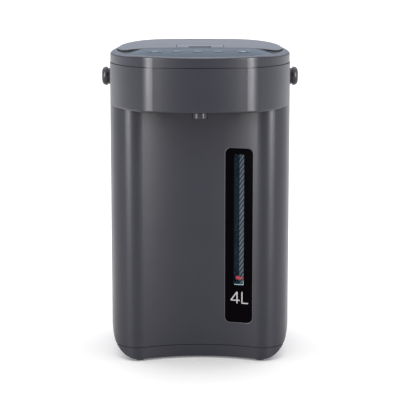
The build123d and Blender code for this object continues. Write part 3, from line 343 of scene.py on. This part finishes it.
# ------------------------------------------------------------ printed and trimmed details
def crown(x, y):
    """Height of the shoulder's crowned front, in mm; x and y in the row frame, in mm."""
    d = max(0.0, -62.0 - (y + 2.5))
    return 352.8 - 1.7588 - d * math.tan(math.radians(2.0)) - d * d / 1584.0 - 0.5 * (abs(x) / 60.0) ** 5


def on_key(x, y, h):
    return (x, y, crown(x, y) + 0.25 + h)


def on_film(x, y, h):
    return (x, y, crown(x, y) + h)


def on_arc(radius):
    """The hollow front: u runs along X, v along Z, h towards the viewer."""
    def place(u, v, h):
        r = radius - h
        return (u, -224.5 + math.sqrt(r * r - u * u), v)
    return place


def slab(name, groups, place, thick, mat, body, step=1.0, lift=0.02):
    """A thin closed slab for each group of loops (an outline and its holes), wrapped on a surface."""
    out = bmesh.new()
    for loops in groups:
        bm = bmesh.new()
        pts = [p for loop in loops for p in loop]
        vs = [bm.verts.new((p[0], p[1], 0.0)) for p in pts]
        for tri in tessellate_polygon([[Vector((p[0], p[1], 0.0)) for p in loop] for loop in loops]):
            if len(set(tri)) == 3:
                bm.faces.new([vs[i] for i in tri])
        lo = [min(p[i] for p in pts) for i in (0, 1)]
        hi = [max(p[i] for p in pts) for i in (0, 1)]
        for axis in (0, 1):
            k = math.ceil(lo[axis] / step) * step
            while k < hi[axis]:
                co, no = [0.0, 0.0, 0.0], [0.0, 0.0, 0.0]
                co[axis], no[axis] = k, 1.0
                bmesh.ops.bisect_plane(bm, geom=bm.verts[:] + bm.edges[:] + bm.faces[:], dist=1e-5, plane_co=co, plane_no=no)
                k += step
        bmesh.ops.remove_doubles(bm, verts=bm.verts[:], dist=1e-4)
        low = {v: out.verts.new([c / 1000.0 for c in place(v.co.x, v.co.y, lift)]) for v in bm.verts}
        top = {v: out.verts.new([c / 1000.0 for c in place(v.co.x, v.co.y, lift + thick)]) for v in bm.verts}
        for f in bm.faces:
            out.faces.new([top[v] for v in f.verts])
            out.faces.new([low[v] for v in reversed(f.verts)])
        for e in bm.edges:
            if len(e.link_faces) == 1:
                a, b = e.verts
                out.faces.new((low[a], low[b], top[b], top[a]))
        bm.free()
    bmesh.ops.recalc_face_normals(out, faces=out.faces[:])
    me = bpy.data.meshes.new(name)
    out.to_mesh(me)
    out.free()
    o = bpy.data.objects.new(name, me)
    scene.collection.objects.link(o)
    me.materials.append(mat.m)
    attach(o, body)
    return o


def stroke(points, w):
    """Outline of a line of even width through points."""
    left, right = [], []
    for i, p in enumerate(points):
        a = points[max(0, i - 1)]
        b = points[min(len(points) - 1, i + 1)]
        dx, dy = b[0] - a[0], b[1] - a[1]
        n = math.hypot(dx, dy)
        left.append((p[0] - dy / n * w / 2, p[1] + dx / n * w / 2))
        right.append((p[0] + dy / n * w / 2, p[1] - dx / n * w / 2))
    return left + right[::-1]


def arc(cx, cy, r, a0, a1, n):
    return [(cx + r * math.cos(math.radians(a0 + (a1 - a0) * i / n)), cy + r * math.sin(math.radians(a0 + (a1 - a0) * i / n))) for i in range(n + 1)]


def circle(cx, cy, r, n=36):
    return arc(cx, cy, r, 0, 360, n)[:-1]


def rounded(x0, x1, y0, y1, r, n=6):
    return (arc(x1 - r, y1 - r, r, 0, 90, n) + arc(x0 + r, y1 - r, r, 90, 180, n)
            + arc(x0 + r, y0 + r, r, 180, 270, n) + arc(x1 - r, y0 + r, r, 270, 360, n))


# plain capacity number with its unit, on the gauge bezel
four = [(34.6, 67.9), (41.1, 67.9), (41.1, 64.8), (42.4, 64.8), (42.4, 67.9), (44.8, 67.9), (44.8, 69.1), (42.4, 69.1),
        (42.4, 78.3), (41.1, 78.3), (34.6, 69.1)]
four_hole = [(41.1, 69.1), (41.1, 76.2), (36.1, 69.1)]
ell = [(46.6, 64.9), (54.0, 64.9), (54.0, 66.1), (47.9, 66.1), (47.9, 78.5), (46.6, 78.5)]
slab("capacity_mark", [[four, four_hole], [ell]], on_arc(151.5), 0.06, M["white_print"], "pot_body")
# low-level mark on the window, and a painted highlight along the lens's lower edge
slab("low_level_mark", [[rounded(40.4, 45.4, 92.6, 96.4, 0.9)], [rounded(46.2, 48.7, 93.4, 95.4, 0.6)]], on_arc(151.8), 0.05,
     M["red_print"], "pot_body")
slab("window_edge_painted_highlight", [[[(38.6, 86.3), (48.9, 86.3), (48.9, 91.4), (48.3, 91.4), (48.3, 87.1), (38.6, 87.1)]]], on_arc(151.8), 0.05,
     M["edge_clear"], "pot_body")

# slim bead round the bezel, on the case; the bead is real, and its pale colour is partly a painted highlight along the
# bezel's edge
def bead(name, loops, place, mat, body):
    """A closed ring swept through loops of equal length; each loop has its own height."""
    verts, faces = [], []
    n = len(loops[0][0])
    for pts, h in loops:
        verts += [[c / 1000.0 for c in place(u, v, h)] for u, v in pts]
    for i in range(len(loops)):
        j = (i + 1) % len(loops)
        for k in range(n):
            m = (k + 1) % n
            faces.append((i * n + k, i * n + m, j * n + m, j * n + k))
    o = mesh_object(name, verts, faces, mat.m)
    bm = bmesh.new()
    bm.from_mesh(o.data)
    bmesh.ops.recalc_face_normals(bm, faces=bm.faces[:])
    bm.to_mesh(o.data)
    bm.free()
    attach(o, body)
    return o


def dense(x0, x1, z0, z1, r):
    """A rounded rectangle with points along its sides too, so that it wraps on the curved front."""
    pts = rounded(x0, x1, z0, z1, r, 8)
    out = []
    for a, b in zip(pts, pts[1:] + pts[:1]):
        n = max(1, int(math.hypot(b[0] - a[0], b[1] - a[1]) / 4.0))
        out += [(a[0] + (b[0] - a[0]) * i / n, a[1] + (b[1] - a[1]) * i / n) for i in range(n)]
    return out


def frame_loop(off):
    """The bead's centre line moved outwards by off, with the same number of points at every off."""
    base = dense(28.3 - 0.5, 58.5 + 0.5, 42.8 - 0.5, 241.3 + 0.5, 6.5)
    cx0, cx1, cz0, cz1 = 34.3, 52.5, 48.8, 235.3
    out = []
    for u, v in base:
        qx, qz = min(max(u, cx0), cx1), min(max(v, cz0), cz1)
        dx, dz = u - qx, v - qz
        n = math.hypot(dx, dz)
        out.append((u + dx / n * off, v + dz / n * off))
    return out


bead("gauge_trim", [(frame_loop(o), h) for o, h in ((-0.36, -0.15), (-0.36, 0.06), (-0.2, 0.17), (0.0, 0.2), (0.2, 0.17), (0.36, 0.06), (0.36, -0.15))],
     on_arc(152.0), M["trim"], "pot_body")

# generic symbols on the keys
KEYS = {"dispense_key": (-49.0, 8.0), "keep_warm_key": (-25.0, 5.2), "reboil_key": (-3.0, 5.2), "timer_key": (20.0, 5.2), "unlock_key": (47.0, 7.0)}
KY = -96.5


def local(x, groups):
    return [[[(x + u, KY + v) for u, v in loop] for loop in g] for g in groups]


def drop(r, top):
    side = [(r * math.cos(math.radians(a)), r * math.sin(math.radians(a))) for a in range(-200, 21, 10)]
    return side + [(0.0, top)]


symbols = {
    "dispense_key": [[drop(2.9, 5.2), drop(1.9, 3.7)[::-1]]],
    "keep_warm_key": [[stroke([(dx + 0.45 * math.sin(t * 1.05), -2.6 + t * 0.87) for t in range(7)], 0.62)] for dx in (-1.8, 0.0, 1.8)],
    "reboil_key": [[arc(0, 0, 2.9, 60, 360, 26) + arc(0, 0, 2.1, 360, 60, 26)], [[(1.3, 0.1), (3.8, 0.1), (2.5, 1.9)]]],
    "timer_key": [[circle(0, 0, 3.1), circle(0, 0, 2.4)[::-1]], [[(-0.3, -0.35), (1.7, -0.35), (1.7, 0.3), (0.35, 0.3), (0.35, 1.8), (-0.3, 1.8)]]],
    "unlock_key": [[rounded(-2.7, 2.7, -3.2, 0.4, 0.5)], [stroke([(-1.7, 0.6), (-1.7, 1.8)] + arc(0, 1.8, 1.7, 180, 20, 10)[1:], 0.7)]],
}
for body, groups in symbols.items():
    x, r = KEYS[body]
    ring = [[circle(0, 0, r - 0.25, 48), circle(0, 0, r - 0.8, 48)[::-1]]]
    slab("symbol_" + body, local(x, groups + ring), on_key, 0.05, M["print"], body, step=1.5, lift=0.03)

# ------------------------------------------------------------ stage
floor_mat = Mat("floor_pale")
fn = floor_mat.noise(3.0, 2.0)
floor_mat.colour(floor_mat.ramp(fn, [(0.3, (0.96, 0.93, 0.89, 1)), (0.7, (0.98, 0.95, 0.91, 1))]))
floor_mat.rough(0.9)
floor_mat.set(Specular_IOR_Level=0.1, Emission_Color=(1.0, 1.0, 1.0, 1.0), Emission_Strength=0.20)


floor = mesh_object("floor", [(-30, -30, 0), (30, -30, 0), (30, 30, 0), (-30, 30, 0)], [(0, 1, 2, 3)], floor_mat.m, False)

# ------------------------------------------------------------ light
# a white sweep behind and beside the object, a dimmer room in front of it
world = bpy.data.worlds.new("studio")
world.use_nodes = True
scene.world = world
wt = world.node_tree
bg = wt.nodes["Background"]
wc = wt.nodes.new("ShaderNodeTexCoord")
wx = wt.nodes.new("ShaderNodeSeparateXYZ")
wt.links.new(wc.outputs["Generated"], wx.inputs[0])
wr = wt.nodes.new("ShaderNodeMapRange")
for k, v in (("From Min", -0.75), ("From Max", 0.45), ("To Min", FRONT_DIM), ("To Max", 0.75)):
    wr.inputs[k].default_value = v
wr.interpolation_type = "SMOOTHSTEP"
wt.links.new(wx.outputs["Y"], wr.inputs["Value"])
wz = wt.nodes.new("ShaderNodeMapRange")
for k, v in (("From Min", 0.10), ("From Max", 0.9), ("To Min", 1.0), ("To Max", TOP_DIM)):
    wz.inputs[k].default_value = v
wt.links.new(wx.outputs["Z"], wz.inputs["Value"])
wm = wt.nodes.new("ShaderNodeMath")
wm.operation = "MULTIPLY"
wt.links.new(wr.outputs["Result"], wm.inputs[0])
wt.links.new(wz.outputs["Result"], wm.inputs[1])
wg = wt.nodes.new("ShaderNodeCombineColor")
for k, v in (("Red", 0.85), ("Green", 0.95), ("Blue", 1.15)):
    t = wt.nodes.new("ShaderNodeMath")
    t.operation = "MULTIPLY"
    t.inputs[1].default_value = v
    wt.links.new(wm.outputs[0], t.inputs[0])
    wt.links.new(t.outputs[0], wg.inputs[k])
# what is seen past the edge of the floor is as white as the floor
wl = wt.nodes.new("ShaderNodeLightPath")
wh = wt.nodes.new("ShaderNodeMix")
wh.data_type = "RGBA"
[i for i in wh.inputs if i.name == "B" and i.type == "RGBA"][0].default_value = (1.0, 1.0, 1.0, 1.0)
wt.links.new(wl.outputs["Is Camera Ray"], wh.inputs["Factor"])
wt.links.new(wg.outputs["Color"], [i for i in wh.inputs if i.name == "A" and i.type == "RGBA"][0])
wt.links.new([o for o in wh.outputs if o.type == "RGBA"][0], bg.inputs["Color"])
bg.inputs["Strength"].default_value = 1.0


# the two soft lights are flagged off the floor, so that it stays an even white
off_floor = bpy.data.collections.new("lit_by_soft_lights")
off_floor.objects.link(floor)
off_floor.collection_objects[0].light_linking.link_state = "EXCLUDE"


def area(name, loc, target, size, power, colour=(1, 1, 1), size_y=None):
    l = bpy.data.lights.new(name, "AREA")
    l.shape = "RECTANGLE"
    l.size = size
    l.size_y = size_y or size
    l.energy = power
    l.color = colour
    o = bpy.data.objects.new(name, l)
    scene.collection.objects.link(o)
    o.location = loc
    o.light_linking.receiver_collection = off_floor
    d = Vector(target) - Vector(loc)
    o.rotation_euler = d.to_track_quat("-Z", "Y").to_euler()
    return o


SA = math.radians(SOFT_AZ)
for side, tag in ((-1, "left"), (1, "right")):
    area("soft_" + tag, (side * 1.5 * math.sin(SA), -1.5 * math.cos(SA), 0.73), (0, 0, 0.25), SOFT_W, SOFT_P, size_y=1.2)
sun = bpy.data.lights.new("overhead", "SUN")
sun.energy = SUN
sun.angle = math.radians(110)
sun_o = bpy.data.objects.new("overhead", sun)
scene.collection.objects.link(sun_o)
sun_o.rotation_euler = (math.radians(-12), 0.0, 0.0)

# ------------------------------------------------------------ camera
cam = bpy.data.cameras.new("camera")
cam.sensor_width = 36.0
cam.lens = 1420.9 * 36.0 / 400.0
cam.clip_end = 20.0
cam_o = bpy.data.objects.new("camera", cam)
scene.collection.objects.link(cam_o)
cam_o.location = (0.0, -1.6425, 0.4423)
cam_o.rotation_euler = (math.radians(90 - 9.41), 0.0, 0.0)
scene.camera = cam_o
